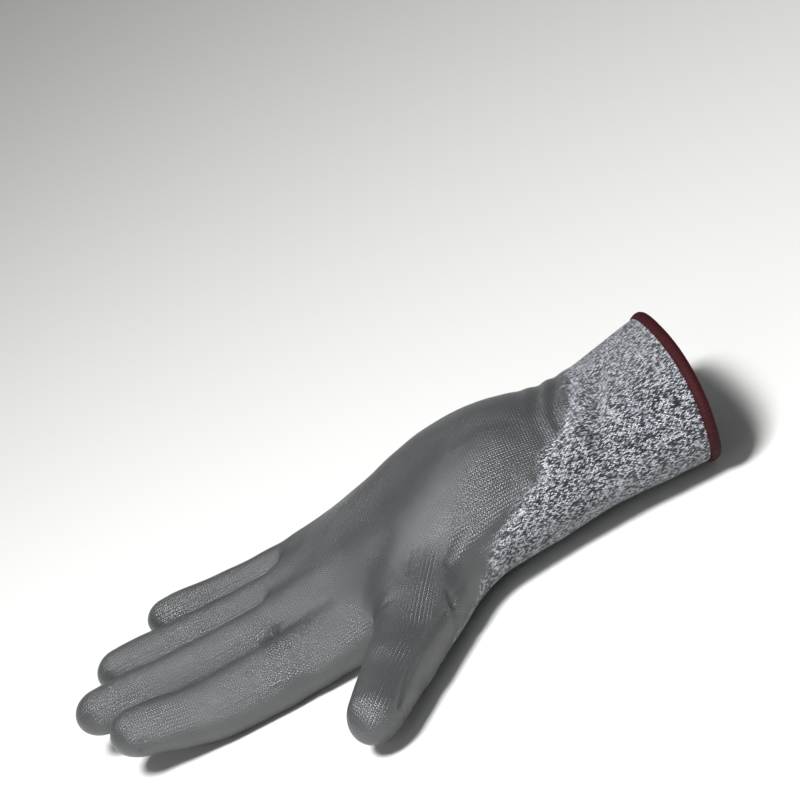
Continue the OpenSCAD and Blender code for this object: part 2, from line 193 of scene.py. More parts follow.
def smooth_table(table, t):
    """The table's columns at t: a Catmull-Rom curve through its rows."""
    x = table[:, 0]
    i = np.clip(np.searchsorted(x, t) - 1, 0, len(x) - 2)
    h = x[i + 1] - x[i]
    u = np.clip((t - x[i]) / h, 0, 1)
    slope = np.gradient(table[:, 1:], x, axis=0)
    out = []
    for k in range(table.shape[1] - 1):
        a, b = table[i, k + 1], table[i + 1, k + 1]
        out.append(a * (2 * u ** 3 - 3 * u ** 2 + 1) + b * (3 * u ** 2 - 2 * u ** 3)
                   + slope[i, k] * h * (u ** 3 - 2 * u ** 2 + u)
                   + slope[i + 1, k] * h * (u ** 3 - u ** 2))
    return out


def smooth_min(a, b, k):
    """min(a, b), rounded where they differ by less than k: b + (a - b) h - k h (1 - h)."""
    h = np.clip(0.5 + 0.5 * (b - a) / k, 0, 1)
    return b + (a - b) * h - k * h * (1 - h)


def fork_line(x):
    """Y of the finger roots across the hand: it falls off as x^2 to each side of the middle."""
    to_little = np.clip((x - STALLS[1, 0]) / (STALLS[3, 0] - STALLS[1, 0]), 0, 1.3)
    to_index = np.clip((STALLS[1, 0] - x) / (STALLS[1, 0] - STALLS[0, 0]), 0, 1.3)
    return FORK_Y - FORK_FALL * to_little ** 2 - INDEX_FALL * to_index ** 2


def turn(axis, angle):
    """The 3 by 3 rotation by the angle about X, Y or Z."""
    c, s = np.cos(angle), np.sin(angle)
    i, j = [(1, 2), (2, 0), (0, 1)][axis]
    m = np.eye(3)
    m[i, i] = m[j, j] = c
    m[i, j], m[j, i] = -s, s
    return m


THUMB_AXES = turn(2, THUMB_SPREAD) @ turn(0, THUMB_FALL) @ turn(1, THUMB_TURN)


def finger_centre(i, s):
    """Points on finger i's centre line, s along it: straight, rising, and lifted at the tip."""
    x, y, z, length, _, lift = STALLS[i]
    droop = (1.8 if i == 0 else 0.9) * np.sin(np.pi * np.clip((s + 12) / length, 0, 1))
    height = z + RISE * s - droop + lift * ease((s / length - 0.45) / 0.5)
    return np.stack([x + np.sin(SPREAD[i]) * s, y + np.cos(SPREAD[i]) * s, height], -1)


def finger_radius(i, s):
    """Finger i's radius at s: it tapers, is a little full at each knuckle and slim between."""
    length, d = STALLS[i, 3:5]
    u = np.clip(s / length, 0, 1)
    waves = 0.12 * np.cos(2 * np.pi * (u - 0.12) / 0.31)
    full = INDEX_FULL * np.exp(-((s - 16) / 22) ** 2) if i == 0 else 0.0
    return d / 2 * (1 - 0.13 * u - 0.05 * u ** 4) + waves * ease(u / 0.2) + full


def finger_distance(i, p):
    """How far p is outside finger i: a round tube on its centre line, closed by a long dome."""
    x, y, _, length, _, _ = STALLS[i]
    dx, dy = p[..., 0] - x, p[..., 1] - y
    s = dx * np.sin(SPREAD[i]) + dy * np.cos(SPREAD[i])
    side = dx * np.cos(SPREAD[i]) - dy * np.sin(SPREAD[i])
    tip_radius = finger_radius(i, length)
    dome = length - tip_radius * FINGER_DOME
    up_ = p[..., 2] - finger_centre(i, np.minimum(s, length))[..., 2]
    flat = 1 - 0.1 * ease((s / length - 0.55) / 0.4)
    ahead = np.maximum(s - dome, 0) / FINGER_DOME
    behind = np.maximum(-24 - s, 0)
    return (np.sqrt(side ** 2 + (up_ / flat) ** 2 + ahead ** 2 + behind ** 2)
            - finger_radius(i, np.minimum(s, dome)))


def thumb_local(p):
    """p in the thumb's own axes: across, along, and out of its pad."""
    return (p - THUMB_AT) @ THUMB_AXES


def thumb_curl(s):
    """How far the thumb's centre line has curled to its pad, s along it."""
    return THUMB_CURL * ease((s - 30) / 46)


def thumb_centre(s):
    """Points on the thumb's centre line, s along it: nearly straight, curling to its pad."""
    local = np.stack([np.zeros_like(s), s, thumb_curl(s)], -1)
    return THUMB_AT + local @ THUMB_AXES.T


def thumb_distance(p):
    """How far p is outside the thumb: a tube on its centre line, wide at the root, with a dome."""
    q = thumb_local(p)
    s = q[..., 1]
    tip_radius = THUMB_RADII[-1, 1]
    dome = THUMB_LENGTH - tip_radius * THUMB_DOME
    radius = smooth_table(THUMB_RADII, np.minimum(s, dome))[0]
    out = q[..., 2] - thumb_curl(s)
    flat = 1 - 0.1 * ease((s - 55) / 20)
    ahead = np.maximum(s - dome, 0) / THUMB_DOME
    behind = np.maximum(-12 - s, 0)
    return np.sqrt(q[..., 0] ** 2 + (out / flat) ** 2 + ahead ** 2 + behind ** 2) - radius


def mound(p, centre, radii):
    """1 at the centre, falling to 0 at an ellipsoid's surface, as (1 - d^2)^2."""
    d = (((p - centre) / radii) ** 2).sum(-1)
    return np.clip(1 - d, 0, 1) ** 2


def ridges(p, seed, wavelength):
    """Soft irregular noise of about one wavelength: five sine waves in fixed random directions."""
    random = np.random.default_rng(seed)
    total = np.zeros(p.shape[:-1])
    for _ in range(5):
        direction = random.normal(size=3)
        direction *= 2 * np.pi / wavelength / np.linalg.norm(direction)
        total += np.sin(p @ direction + random.uniform(0, 2 * np.pi))
    return total / 5


# folds in the cloth: how far each stands out, half its width, and the points it runs through
FOLDS = (
    (-3.0, 2.6, ((-3, -78, 44), (-9, -76.5, 43.5), (-18, -74, 42), (-26, -70.5, 39),
                 (-30, -69, 36), (-35, -68, 30))),
    (1.4, 3.4, ((-6, -71, 44), (-17, -68, 42.5), (-25, -64, 40), (-31, -62, 36))),
    (-1.0, 1.3, ((-37.5, -45, 33), (-39, -39, 30.5), (-40, -28, 28), (-43, -20, 25.5),
                 (-48, -9, 21.5), (-53, -3, 19.5), (-57.5, 1.5, 18))),
    (0.6, 1.8, ((-36, -41, 35), (-38, -30, 32.5), (-41, -19, 30), (-45, -9, 26.5))),
    (-0.5, 1.2, ((-35, -36, 37.5), (-37, -24, 35), (-41, -12, 31.5), (-47, -3, 27.5))),
    (-1.6, 1.5, ((-56, 0.5, 21), (-58.5, 1.5, 16), (-59.5, 3, 11.5), (-60, 5, 6.5))),
    (-1.0, 1.2, ((-61, 4.5, 18), (-69.5, 10.8, 19), (-77.5, 16.6, 19.3), (-84.3, 21.8, 18.2),
                 (-91.5, 26.3, 16.4), (-96.5, 30, 15))),
    (0.7, 2.0, ((-66, 7, 22), (-76, 14, 22.5), (-84, 19.5, 21.5), (-91.5, 24.5, 19.5),
                (-97.5, 29, 17))),
    (-0.9, 4.0, ((-80, 17, 6), (-83, 19, 10))),
    (-0.9, 0.8, ((-41.6, 122, 15.6), (-42.4, 120.5, 17.6), (-42, 119, 18.6))),
    (0.28, 0.55, ((-43, 44, 15.5), (-41.6, 71, 17.5), (-41, 96, 18.2))),
    (0.28, 0.55, ((-43.2, 40, 12.5), (-42, 71, 14.4), (-41.4, 92, 15.4))),
    (-0.45, 0.8, ((-43.2, 42, 14), (-41.9, 71, 16), (-41.3, 94, 16.8))),
    (-0.7, 1.6, ((-45, 33, 23), (-52, 24, 27), (-56, 17, 31))),
    (-0.6, 1.5, ((-42, 36, 27), (-47, 27, 31), (-50, 19, 34))))


def near_line(p, line):
    """How far p is from a line in straight stretches."""
    nearest = np.full(p.shape[:-1], 99.0)
    for a, b in zip(np.array(line[:-1], float), np.array(line[1:], float)):
        along = np.clip((p - a) @ (b - a) / ((b - a) @ (b - a)), 0, 1)
        away = p - a - along[..., None] * (b - a)
        nearest = np.minimum(nearest, np.sqrt((away ** 2).sum(-1)))
    return nearest


def relief(p):
    """How far cloth stands out from the plain form: the ball of the thumb, the hollow of the palm,
    gathers at the wrist, the folds, and a slack surface everywhere."""
    x, y, z = p[..., 0], p[..., 1], p[..., 2]
    out = 2.4 * mound(p, (-24, -20, 40), (24, 34, 26))
    out -= 3.0 * mound(p, (4, 8, 40), (26, 36, 22))
    out += 0.20 * ridges(p, 3, 30) + 0.08 * ridges(p, 5, 12)
    palm_side = ease((z - 8) / 18)
    wrist = np.exp(-((y + 61 - 0.06 * x) / 9) ** 2)
    waves = np.sin((y + 0.10 * x + 1.5 * np.sin(x / 9)) * 2 * np.pi / 7.5)
    out += 0.35 * wrist * waves * palm_side
    for stands, width, line in FOLDS:
        out += stands * np.exp(-(near_line(p, line) / width) ** 2)
    return out


def index_lean(x, y):
    """How far the tube's middle sinks on the index finger's side, toward the fingers."""
    return -4.0 * ease((-x - 6) / 24) * ease((y - 15) / 40)


def palm_distance(p):
    """How far p is outside the palm and cuff tube: rounded rectangles carried along Y."""
    x, y, z = p[..., 0], p[..., 1], p[..., 2]
    centre, half_width, low, high = smooth_table(STATIONS, np.clip(y, *STATIONS[[0, -1], 0]))
    middle, half_height = (low + high) / 2 + index_lean(x, y), (high - low) / 2
    across, upward = np.abs(x - centre) / half_width, np.abs(z - middle) / half_height
    n = SECTION_POWER
    size = (across ** n + upward ** n + 1e-9) ** (1 / n)
    steep = size ** (1 - n) * np.hypot(across ** (n - 1) / half_width,
                                       upward ** (n - 1) / half_height)
    body = (size - 1) / np.maximum(steep, 0.4 / half_width)
    return -smooth_min(-body, -(y - fork_line(x)), 5.0)


def outside(p):
    """How far p is outside the glove. Palm, fingers and thumb flow together over a few mm, and
    the back lies flat where it meets the table."""
    fingers = finger_distance(0, p)
    for i in (1, 2, 3):
        ahead = p[..., 1] - fork_line(p[..., 0])
        web = 0.2 + 2.6 * (1 - ease(ahead / 6))
        fingers = smooth_min(fingers, finger_distance(i, p), web)
    hand = smooth_min(palm_distance(p), fingers, 4.0)
    hand = smooth_min(hand, thumb_distance(p), 8.0) - relief(p)
    return -smooth_min(-hand, p[..., 2] - TABLE_GAP, 1.6)


def reach(origin, direction, form=outside, furthest=70.0):
    """Where each ray from inside first leaves the form: it is walked in steps to the first sign
    change, then halved down."""
    shape = np.broadcast_shapes(origin.shape, direction.shape)
    o, d = np.broadcast_to(origin, shape), np.broadcast_to(direction, shape)
    step = 0.8
    t = np.full(shape[:-1], furthest)
    found = np.zeros(shape[:-1], bool)
    for k in range(int(furthest / step)):
        now = k * step
        open_ = ~found
        if not open_.any():
            break
        hit = np.zeros_like(found)
        hit[open_] = form(o[open_] + d[open_] * now) > 0
        t[hit] = now
        found |= hit
    low, high = np.maximum(t - step, 0), t
    for _ in range(16):
        middle = (low + high) / 2
        is_out = form(o + d * middle[..., None]) > 0
        high = np.where(is_out, middle, high)
        low = np.where(is_out, low, middle)
    return o + d * ((low + high) / 2)[..., None]


def outward(p):
    """The unit normal of the form at p, from differences of outside() over 0.5 mm."""
    step = 0.25
    grad = np.stack([outside(p + step * e) - outside(p - step * e) for e in np.eye(3)], -1)
    return grad / np.linalg.norm(grad, axis=-1, keepdims=True)


# ---- Palm, knitted --------------------------------------------------------------------------
# The palm of the shell: a tube of cut resistant yarn, a ply of white and black filaments, whose
# face is columns of small Vs, speckled black and white at random. It runs from the wrist to just
# behind the forks of the fingers, with a hole for the thumb stall.
PALM_Y = -56.0
PALM_ROWS = 95
CUFF_ROWS = 39
FRONT_GAP = 5.0
TOP_COLUMNS = (12, 22, 22, 10)
LITTLE_CAP, INDEX_CAP = 30, 36
WEB_COLUMNS = 20
FORK_X = (-18.8, 2.8, 23.4)
WALL = 1.2
# width of a wale and height of a course in the stitch maps. Every ring holds WALES_ROUND wales,
# about 1.4 mm each at the palm. Both were chosen.
WALE, COURSE = 1.9, 1.0
WALES_ROUND = 168
LEG_SLANT = 1.5
SHADES_A_LEG = 1.4
HOLE_ROWS = (34, 79)
HOLE_COLUMNS = (4, 31)
# lowest z of the film at y on each side, and lowest y at x across the wrist
THUMB_SIDE_FILM = ((-57, -50, -42, -35, -28, -20, -13, -4, 30, 48),
                   (35.5, 35, 30.5, 28, 24, 19.5, 11.5, 5, 4, 3))
LITTLE_SIDE_FILM = ((-56, -44, -30, 30, 48), (27, 14, 9, 9.5, 10.5))
WRIST_FILM = ((-40, -30, -25, -19, -9.5, 0, 12, 40), (-51, -53, -60, -65, -69, -70.3, -71, -71))
# mm over which the film thins: sides, finger tips and thumb, and wrist
SIDE_FADE, TIP_FADE, WRIST_FADE = 8, 5, 6
# mm of each stall's end that is dipped all round
FINGER_DIP, THUMB_DIP = 15, 17


def front_share(y):
    """0 over the heel, 1 near the forks, where columns follow the fingers and not the tube."""
    return ease((y - 20) / 30)


def ring_rays(y0, share, rows_y=None):
    """Origins and directions of the rays of one ring round the palm. The ring starts over the
    index finger's centre line, crosses the palm side to the little finger, goes round that side,
    back across the back of the hand, and round the thumb's side. Each row lies at y0 plus share
    of the way to the forks, or at rows_y where the cuff is made."""
    marks = (STALLS[0, 0], *FORK_X, STALLS[3, 0])
    spans = [np.linspace(a, b, n + 1)[:-1] for a, b, n in zip(marks, marks[1:], TOP_COLUMNS)]
    top_x = np.concatenate([*spans, [marks[-1]]])
    front_middle, front_reach = (marks[0] + marks[-1]) / 2, (marks[-1] - marks[0]) / 2
    little_turn = np.linspace(0, np.pi, LITTLE_CAP + 1)[1:-1]
    index_turn = np.linspace(0, np.pi, INDEX_CAP + 1)[1:-1]
    x = np.concatenate([top_x, np.full(len(little_turn), marks[-1]),
                        top_x[::-1], np.full(len(index_turn), marks[0])])
    angle = np.concatenate([np.zeros(len(top_x)), little_turn,
                            np.full(len(top_x), np.pi), np.pi + index_turn])
    direction = np.stack([np.sin(angle), np.zeros_like(angle), np.cos(angle)], -1)
    front = fork_line(x) - FRONT_GAP
    if rows_y is None:
        y = y0 + (front[None] - y0) * share[:, None]
    else:
        y = np.broadcast_to(rows_y[:, None], (len(rows_y), len(x)))
    centre, half_width, low, high = smooth_table(STATIONS, y)
    half_height = (high - low) / 2
    spread = (half_width - half_height) / front_reach
    at_front = front_share(y)
    spread = spread * (1 - at_front) + at_front
    middle = centre * (1 - at_front) + front_middle * at_front
    ox = middle + (x[None] - front_middle) * spread
    origin = np.stack([ox, y, (low + high) / 2 + index_lean(ox, y)], -1)
    return origin, np.broadcast_to(direction[None], origin.shape)


def even_u(origin, direction):
    """u at the column edges of each ring: the length round the plain tube, scaled to the same
    number of wales in every ring. Toward the forks it passes to the same width every column."""
    plain = reach(origin, direction, palm_distance)
    step = np.linalg.norm(np.roll(plain, -1, axis=1) - plain, axis=-1)
    at = np.concatenate([np.zeros((len(step), 1)), np.cumsum(step, axis=1)], 1)
    columns_u = np.arange(at.shape[1]) * WALES_ROUND * WALE / step.shape[1]
    middle = sum(TOP_COLUMNS) // 2
    round_u = columns_u[middle] + (at - at[:, middle, None]) / at[:, -1:] * columns_u[-1]
    at_front = front_share(origin[:, middle, 1])[:, None]
    return round_u * (1 - at_front) + columns_u * at_front


def quads(rows, columns, closed=True):
    """Faces of a grid whose vertices are numbered row by row: columns go round, rows along."""
    r, c = np.meshgrid(np.arange(rows - 1), np.arange(columns if closed else columns - 1),
                       indexing="ij")
    after = (c + 1) % columns
    return np.stack([r * columns + c, r * columns + after,
                     (r + 1) * columns + after, (r + 1) * columns + c], -1)


def walled(name, outer, inner, normals, faces, loops_uv, caps=None, **stored):
    """A closed shell in metres: the outer faces, the same faces turned over on the inner points,
    and a rim along every open edge. Normals are those of the form, so neighbours shade as one.
    caps are triangles that close a dome. Each corner has one UV map, or two. stored are values
    kept at each point, by name."""
    used = np.unique(np.concatenate([faces.ravel(), caps.ravel()] if caps is not None
                                    else [faces.ravel()]))
    renumber = np.full(len(outer), -1)
    renumber[used] = np.arange(len(used))
    outer, inner, normals = outer[used], inner[used], normals[used]
    n = len(used)
    quad = renumber[faces]
    parts = [quad]
    edges = np.concatenate([np.stack([quad[:, k], quad[:, (k + 1) % 4]], -1) for k in range(4)])
    uv = [loops_uv[0]]
    if caps is not None:
        tri = renumber[caps]
        edges = np.concatenate([edges] + [np.stack([tri[:, k], tri[:, (k + 1) % 3]], -1)
                                          for k in range(3)])
    key = edges[:, 0] * n + edges[:, 1]
    twin = edges[:, 1] * n + edges[:, 0]
    rim = edges[~np.isin(key, twin)]
    rim_quads = np.stack([rim[:, 1], rim[:, 0], rim[:, 0] + n, rim[:, 1] + n], -1)
    parts += [quad[:, ::-1] + n, rim_quads]
    width = loops_uv[0].shape[-1]
    uv += [loops_uv[0][:, ::-1], np.zeros((len(rim_quads), 4, width))]
    corners = [np.concatenate(parts).ravel()]
    sizes = [np.full(sum(len(p) for p in parts), 4)]
    uv = [np.concatenate(uv).reshape(-1, width)]
    if caps is not None:
        both = np.concatenate([tri, tri[:, ::-1] + n])
        corners.append(both.ravel())
        sizes.append(np.full(len(both), 3))
        uv.append(np.concatenate([loops_uv[1], loops_uv[1][:, ::-1]]).reshape(-1, width))
    corners, sizes, uv = np.concatenate(corners), np.concatenate(sizes), np.concatenate(uv)
    mesh = bpy.data.meshes.new(name)
    mesh.vertices.add(2 * n)
    mesh.vertices.foreach_set("co", (np.concatenate([outer, inner]) * MM).ravel())
    mesh.loops.add(len(corners))
    mesh.loops.foreach_set("vertex_index", corners.astype(np.int32))
    mesh.polygons.add(len(sizes))
    mesh.polygons.foreach_set("loop_start", np.concatenate([[0], np.cumsum(sizes)[:-1]])
                              .astype(np.int32))
    mesh.update(calc_edges=True)
    for layer_name, k in (("stitches", 0), ("palm_stitches", 2))[:width // 2]:
        layer = mesh.uv_layers.new(name=layer_name)
        layer.data.foreach_set("uv", uv[:, k:k + 2].astype(np.float32).ravel())
    for layer_name, values in stored.items():
        layer = mesh.attributes.new(layer_name, "FLOAT", "POINT")
        layer.data.foreach_set("value", np.tile(values[used], 2).astype(np.float32))
    mesh.validate()
    mesh.normals_split_custom_set_from_vertices(np.concatenate([normals, -normals]))
    obj = bpy.data.objects.new(name, mesh)
    bpy.context.scene.collection.objects.link(obj)
    return obj


def film_on(p):
    """How much polyurethane covers the knit at p, from 0, bare, to 1: all of the palm side, the
    sides down to a soft line, and the tips all round. The line rises to the wrist, most steeply
    on the thumb's side, and crosses the wrist at WRIST_FILM."""
    x, y, z = p[..., 0], p[..., 1], p[..., 2]
    ragged = 1.3 * ridges(p, 11, 9) + 0.8 * ridges(p, 12, 4.5)
    thumb_side = ease((6 - x) / 20)
    line = np.interp(y, *THUMB_SIDE_FILM) * thumb_side \
        + np.interp(y, *LITTLE_SIDE_FILM) * (1 - thumb_side)
    line = line - 1.3 * np.clip(STALLS[0, 0] - x, 0, 8) * ease((y - 10) / 20)
    cover = (z - line + ragged) / SIDE_FADE
    for i in range(4):
        s = (y - STALLS[i, 1]) * np.cos(SPREAD[i]) + (x - STALLS[i, 0]) * np.sin(SPREAD[i])
        near = np.abs((x - STALLS[i, 0]) - np.sin(SPREAD[i]) * s) < 14
        dipped = (s - STALLS[i, 3] + FINGER_DIP + ragged) / TIP_FADE
        cover = np.where(near, np.maximum(cover, dipped), cover)
    q = thumb_local(p)
    on_thumb = (0.5 * q[..., 2] - 0.85 * q[..., 0] + 8.5 + ragged) / TIP_FADE
    dipped = (q[..., 1] - THUMB_LENGTH + THUMB_DIP + ragged) / TIP_FADE
    on_thumb = np.maximum(on_thumb, dipped)
    by_thumb = ease((q[..., 1] - 12) / 12) * ease((21 - np.hypot(q[..., 0], q[..., 2])) / 4)
    cover = cover * (1 - by_thumb) + on_thumb * by_thumb
    return ease(cover) * ease((y - np.interp(x, *WRIST_FILM) + 1.6 * ragged) / WRIST_FADE)


def stitches(tree, uv_map):
    """Knit from a UV map in mm. Each wale holds two legs leaning into a V, one above another a
    course apart: q = v / course + slant |fract(u / wale) - 1/2|. A leg stands out as
    sin(pi fract q) |sin(2 pi u / wale)| ^ 0.6. The mixed yarn changes shade at random along each leg,
    and its darker stretches run on over a few legs. Returns height, shade of yarn and fibre."""
    uv = add(tree, "UVMap", {"uv_map": uv_map})
    axes = add(tree, "SeparateXYZ", i0=uv)
    wales = add(tree, "Math", "DIVIDE", i0=axes, i1=WALE)
    courses = add(tree, "Math", "DIVIDE", i0=axes.outputs[1], i1=COURSE)
    in_wale = add(tree, "Math", "FRACT", i0=wales)
    from_middle = add(tree, "Math", "SUBTRACT", i0=in_wale, i1=0.5)
    lean = add(tree, "Math", "ABSOLUTE", i0=from_middle)
    q = add(tree, "Math", "MULTIPLY_ADD", i0=lean, i1=LEG_SLANT, i2=courses)
    in_leg = add(tree, "Math", "FRACT", i0=q)
    leg_turn = add(tree, "Math", "MULTIPLY", i0=in_leg, i1=np.pi)
    along = add(tree, "Math", "SINE", i0=leg_turn)
    wale_turn = add(tree, "Math", "MULTIPLY", i0=wales, i1=2 * np.pi)
    across = add(tree, "Math", "SINE", i0=wale_turn)
    across = add(tree, "Math", "ABSOLUTE", i0=across)
    across = add(tree, "Math", "POWER", i0=across, i1=0.6)
    height = add(tree, "Math", "MULTIPLY", i0=along, i1=across)
    leg = add(tree, "Math", "MULTIPLY", i0=wales, i1=2.0)
    leg = add(tree, "Math", "FLOOR", i0=leg)
    change = add(tree, "Math", "MULTIPLY_ADD", i0=leg, i1=0.37, i2=q)
    change = add(tree, "Math", "MULTIPLY", i0=change, i1=SHADES_A_LEG)
    change = add(tree, "Math", "FLOOR", i0=change)
    cell = add(tree, "CombineXYZ", i0=leg, i1=change)
    flat = {"noise_dimensions": "2D"}
    shade = add(tree, "TexWhiteNoise", flat, Vector=cell)
    stretch = add(tree, "Mapping", Vector=cell, Scale=(0.40, 0.40, 1.0))
    runs = add(tree, "TexNoise", flat, Vector=stretch, Scale=1.0, Detail=1.0)
    fibre_map = add(tree, "Mapping", Vector=uv, Scale=(2.2, 1.1, 1.0))
    fibre = add(tree, "TexNoise", flat, Vector=fibre_map, Scale=2.4, Detail=2.0)
    mixed = -0.255
    for pattern, weight in ((runs, 0.16), (shade, 0.8), (fibre, 0.35)):
        mixed = add(tree, "Math", "MULTIPLY_ADD", i0=pattern, i1=weight, i2=mixed)
    return height, mixed, fibre


def stitch_pattern(tree):
    """The stitches, with their colour, and painted shade that darkens the gaps between legs. At the
    thumb's root the palm's stitches pass into the thumb's, so two maps are mixed there by the
    attribute joins_palm, which is 0 elsewhere."""
    join = add(tree, "Attribute", {"attribute_name": "joins_palm"}).outputs["Fac"]
    height, mixed, fibre = (
        add(tree, "Mix", {"data_type": "FLOAT"}, i0=join, i2=own, i3=palms)
        for own, palms in zip(stitches(tree, "stitches"), stitches(tree, "palm_stitches")))
    yarn = add(tree, "ValToRGB", i0=mixed)
    ramp = yarn.color_ramp
    ramp.elements[0].position, ramp.elements[0].color = 0.25, linear("#1b1c21")
    ramp.elements[1].position, ramp.elements[1].color = 0.74, linear("#e9ecf2")
    for place, tone in ((0.31, "#3d4047"), (0.40, "#868b95"), (0.56, "#b9bec8")):
        ramp.elements.new(place).color = linear(tone)
    # painted shade: where the legs sink into the gaps between them, the yarn is darkened toward
    # #202226
    gap_shade_mask = add(tree, "Math", "POWER", i0=height, i1=0.45)
    shown = add(tree, "Mix", {"data_type": "RGBA"}, Factor=gap_shade_mask,
                i6=linear("#202226"), i7=yarn)
    return height, shown.outputs[2], fibre


def pole_uv(u, ring_v, pole_v):
    """Corners of a dome's last triangles: two on its last ring, and the pole."""
    ring_v = np.append(ring_v, ring_v[0])
    return np.stack([np.stack([u[:-1], ring_v[:-1]], -1), np.stack([u[1:], ring_v[1:]], -1),
                     np.stack([(u[:-1] + u[1:]) / 2, pole_v], -1)], 1)


def quad_uv(u, v):
    """Corners of a grid's faces: u at the column edges, in one row or in each, and v at each
    point of each row."""
    rows, columns = v.shape
    u = np.broadcast_to(u, (rows, columns + 1))
    v = np.concatenate([v, v[:, :1]], 1)
    at = np.stack([u, v], -1)
    return np.stack([at[:-1, :-1], at[:-1, 1:], at[1:, 1:], at[1:, :-1]], 2).reshape(-1, 4, 2)


share = np.linspace(0, 1, PALM_ROWS + 1)
palm_origin, palm_direction = ring_rays(PALM_Y, share)
palm = reach(palm_origin, palm_direction)
columns = palm.shape[1]
column_width = WALES_ROUND * WALE / columns
palm_u = np.arange(columns + 1) * column_width
palm_v = palm_origin[..., 1]
palm_faces = quads(len(palm), columns).reshape(-1, 4)
palm_edge_u = even_u(palm_origin, palm_direction)
palm_corners = quad_uv(palm_edge_u, palm_v)
palm_index = np.arange(columns * (len(palm) - 1)).reshape(len(palm) - 1, columns)
hole = np.zeros_like(palm_index, bool)
first_hole = columns - INDEX_CAP + HOLE_COLUMNS[0]
last_hole = columns - INDEX_CAP + HOLE_COLUMNS[1]
hole[HOLE_ROWS[0]:HOLE_ROWS[1], first_hole:last_hole] = True
palm_kept = ~hole.ravel()
palm_points = palm.reshape(-1, 3)
palm_normals = outward(palm_points)

knit, tree = new_material("cut_resistant_knit_black_and_white_ply")
# Such knits mix glass and HPPE filaments: matt, hairy, its legs in relief and speckled by the ply.
height, colour, fibre = stitch_pattern(tree)
relief_map = add(tree, "Math", "MULTIPLY_ADD", i0=fibre, i1=0.35, i2=height)
bump = add(tree, "Bump", Height=relief_map, Distance=0.00045, Strength=0.9)
shader = add(tree, "BsdfPrincipled", Base_Color=colour, Normal=bump,
             Roughness=0.62, Sheen_Weight=0.15, Sheen_Roughness=0.5, Specular_IOR_Level=0.35)
add(tree, "OutputMaterial", Surface=shader)

palm_knit = walled("palm_knit_shell", palm_points, palm_points - WALL * palm_normals, palm_normals,
                   palm_faces[palm_kept], [palm_corners[palm_kept]])
palm_knit.data.materials.append(knit)
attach(palm_knit, "palm")
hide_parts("palm_knit")


# ---- Cuff, knitted --------------------------------------------------------------------------
# The shell goes on past the wrist as the cuff, in the same bare knit, drawn in at the wrist and
# widening to the mouth.
HEM_LEAN = (0.10, -0.15)
rows_y = np.linspace(HEM_Y, PALM_Y, CUFF_ROWS + 1)
cuff_origin, cuff_direction = ring_rays(PALM_Y, share, rows_y)
cuff_u = even_u(cuff_origin, cuff_direction)
slant = np.linspace(1, 0, CUFF_ROWS + 1)[:, None]
cuff = reach(cuff_origin, cuff_direction)
lean = HEM_LEAN[0] * (cuff[..., 0] - 2.0) + HEM_LEAN[1] * (cuff[..., 2] - 23.0)
cuff_origin[..., 1] += slant * (lean + 0.6)
cuff = reach(cuff_origin, cuff_direction)
cuff[-1] = palm[0]
cuff_points = cuff.reshape(-1, 3)
cuff_normals = outward(cuff_points)
cuff_v = np.broadcast_to(rows_y[:, None], cuff.shape[:2])
cuff_knit = walled("cuff_knit_shell", cuff_points, cuff_points - WALL * cuff_normals,
                   cuff_normals, quads(len(cuff), columns).reshape(-1, 4),
                   [quad_uv(cuff_u, cuff_v)])
cuff_knit.data.materials.append(knit)
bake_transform(cuff_knit)
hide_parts("cuff_knit", "wrist_fold")


# ---- Palm, coated ---------------------------------------------------------------------------
# The palm side was dipped in polyurethane, which dried as a thin grey skin in the face of the
# knit. It shows the stitches as a fine grain, in relief and with painted shade in their valleys,
# and thins to nothing in a ragged line.
COAT = 0.30
COAT_ROOT = 0.35
FILM_LIFT = 0.02
FILM_EDGE = 0.004
WRIST_ROWS = 15


def coated(name, points, normals, faces, corners, film, caps=None, cap_corners=None, **stored):
    """The film over a grid: its top stands FILM_LIFT above the knit, and COAT more where it is
    full. Its foot is in the knit.
    Faces with no film on any corner are left out."""
    keep = (film[faces] > FILM_EDGE).any(1)
    top = points + normals * (FILM_LIFT + COAT * film)[:, None]
    foot = points - normals * COAT_ROOT
    uv_parts = [corners[keep]] + ([cap_corners] if caps is not None else [])
    return walled(name, top, foot, normals, faces[keep], uv_parts, caps, film=film, **stored)


polyurethane, tree = new_material("polyurethane_skin_on_knit")
# Water based PU: a satin grey film. Where it is thick it shows the knit as a faint grain, in relief
# and as painted shade darkening the valleys between stitches, and where it thins the speckled yarn
# shows through until it is bare.
height, colour, fibre = stitch_pattern(tree)
film = add(tree, "Attribute", {"attribute_name": "film"})
place = add(tree, "TexCoord")
clouds = add(tree, "TexNoise", Vector=place.outputs["Object"], Scale=60.0, Detail=3.0)
tone = add(tree, "Mix", {"data_type": "RGBA"}, Factor=clouds,
           i6=linear("#3f4143"), i7=linear("#4b4d4f"))
# painted shade: the film's tone is darkened to 0.55 in the knit's valleys, where height is low
valley_shade = add(tree, "MapRange", Value=height, From_Min=0.0, From_Max=0.6,
             To_Min=0.55, To_Max=1.0)
valley_shaded_tone = add(tree, "Mix", {"data_type": "RGBA", "blend_type": "MULTIPLY"}, Factor=1.0,
              i6=tone.outputs[2], i7=valley_shade)
patchy = add(tree, "Math", "MULTIPLY_ADD", i0=fibre, i1=0.5,
             i2=film.outputs["Fac"])
shown = add(tree, "MapRange", {"interpolation_type": "SMOOTHSTEP"},
            Value=patchy, From_Min=0.30, From_Max=1.15)
mixed = add(tree, "Mix", {"data_type": "RGBA"}, Factor=shown,
            i6=colour, i7=valley_shaded_tone.outputs[2])
relief_map = add(tree, "Math", "MULTIPLY_ADD", i0=fibre, i1=0.6, i2=height)
bump = add(tree, "Bump", Height=relief_map, Distance=0.00013, Strength=1.0)
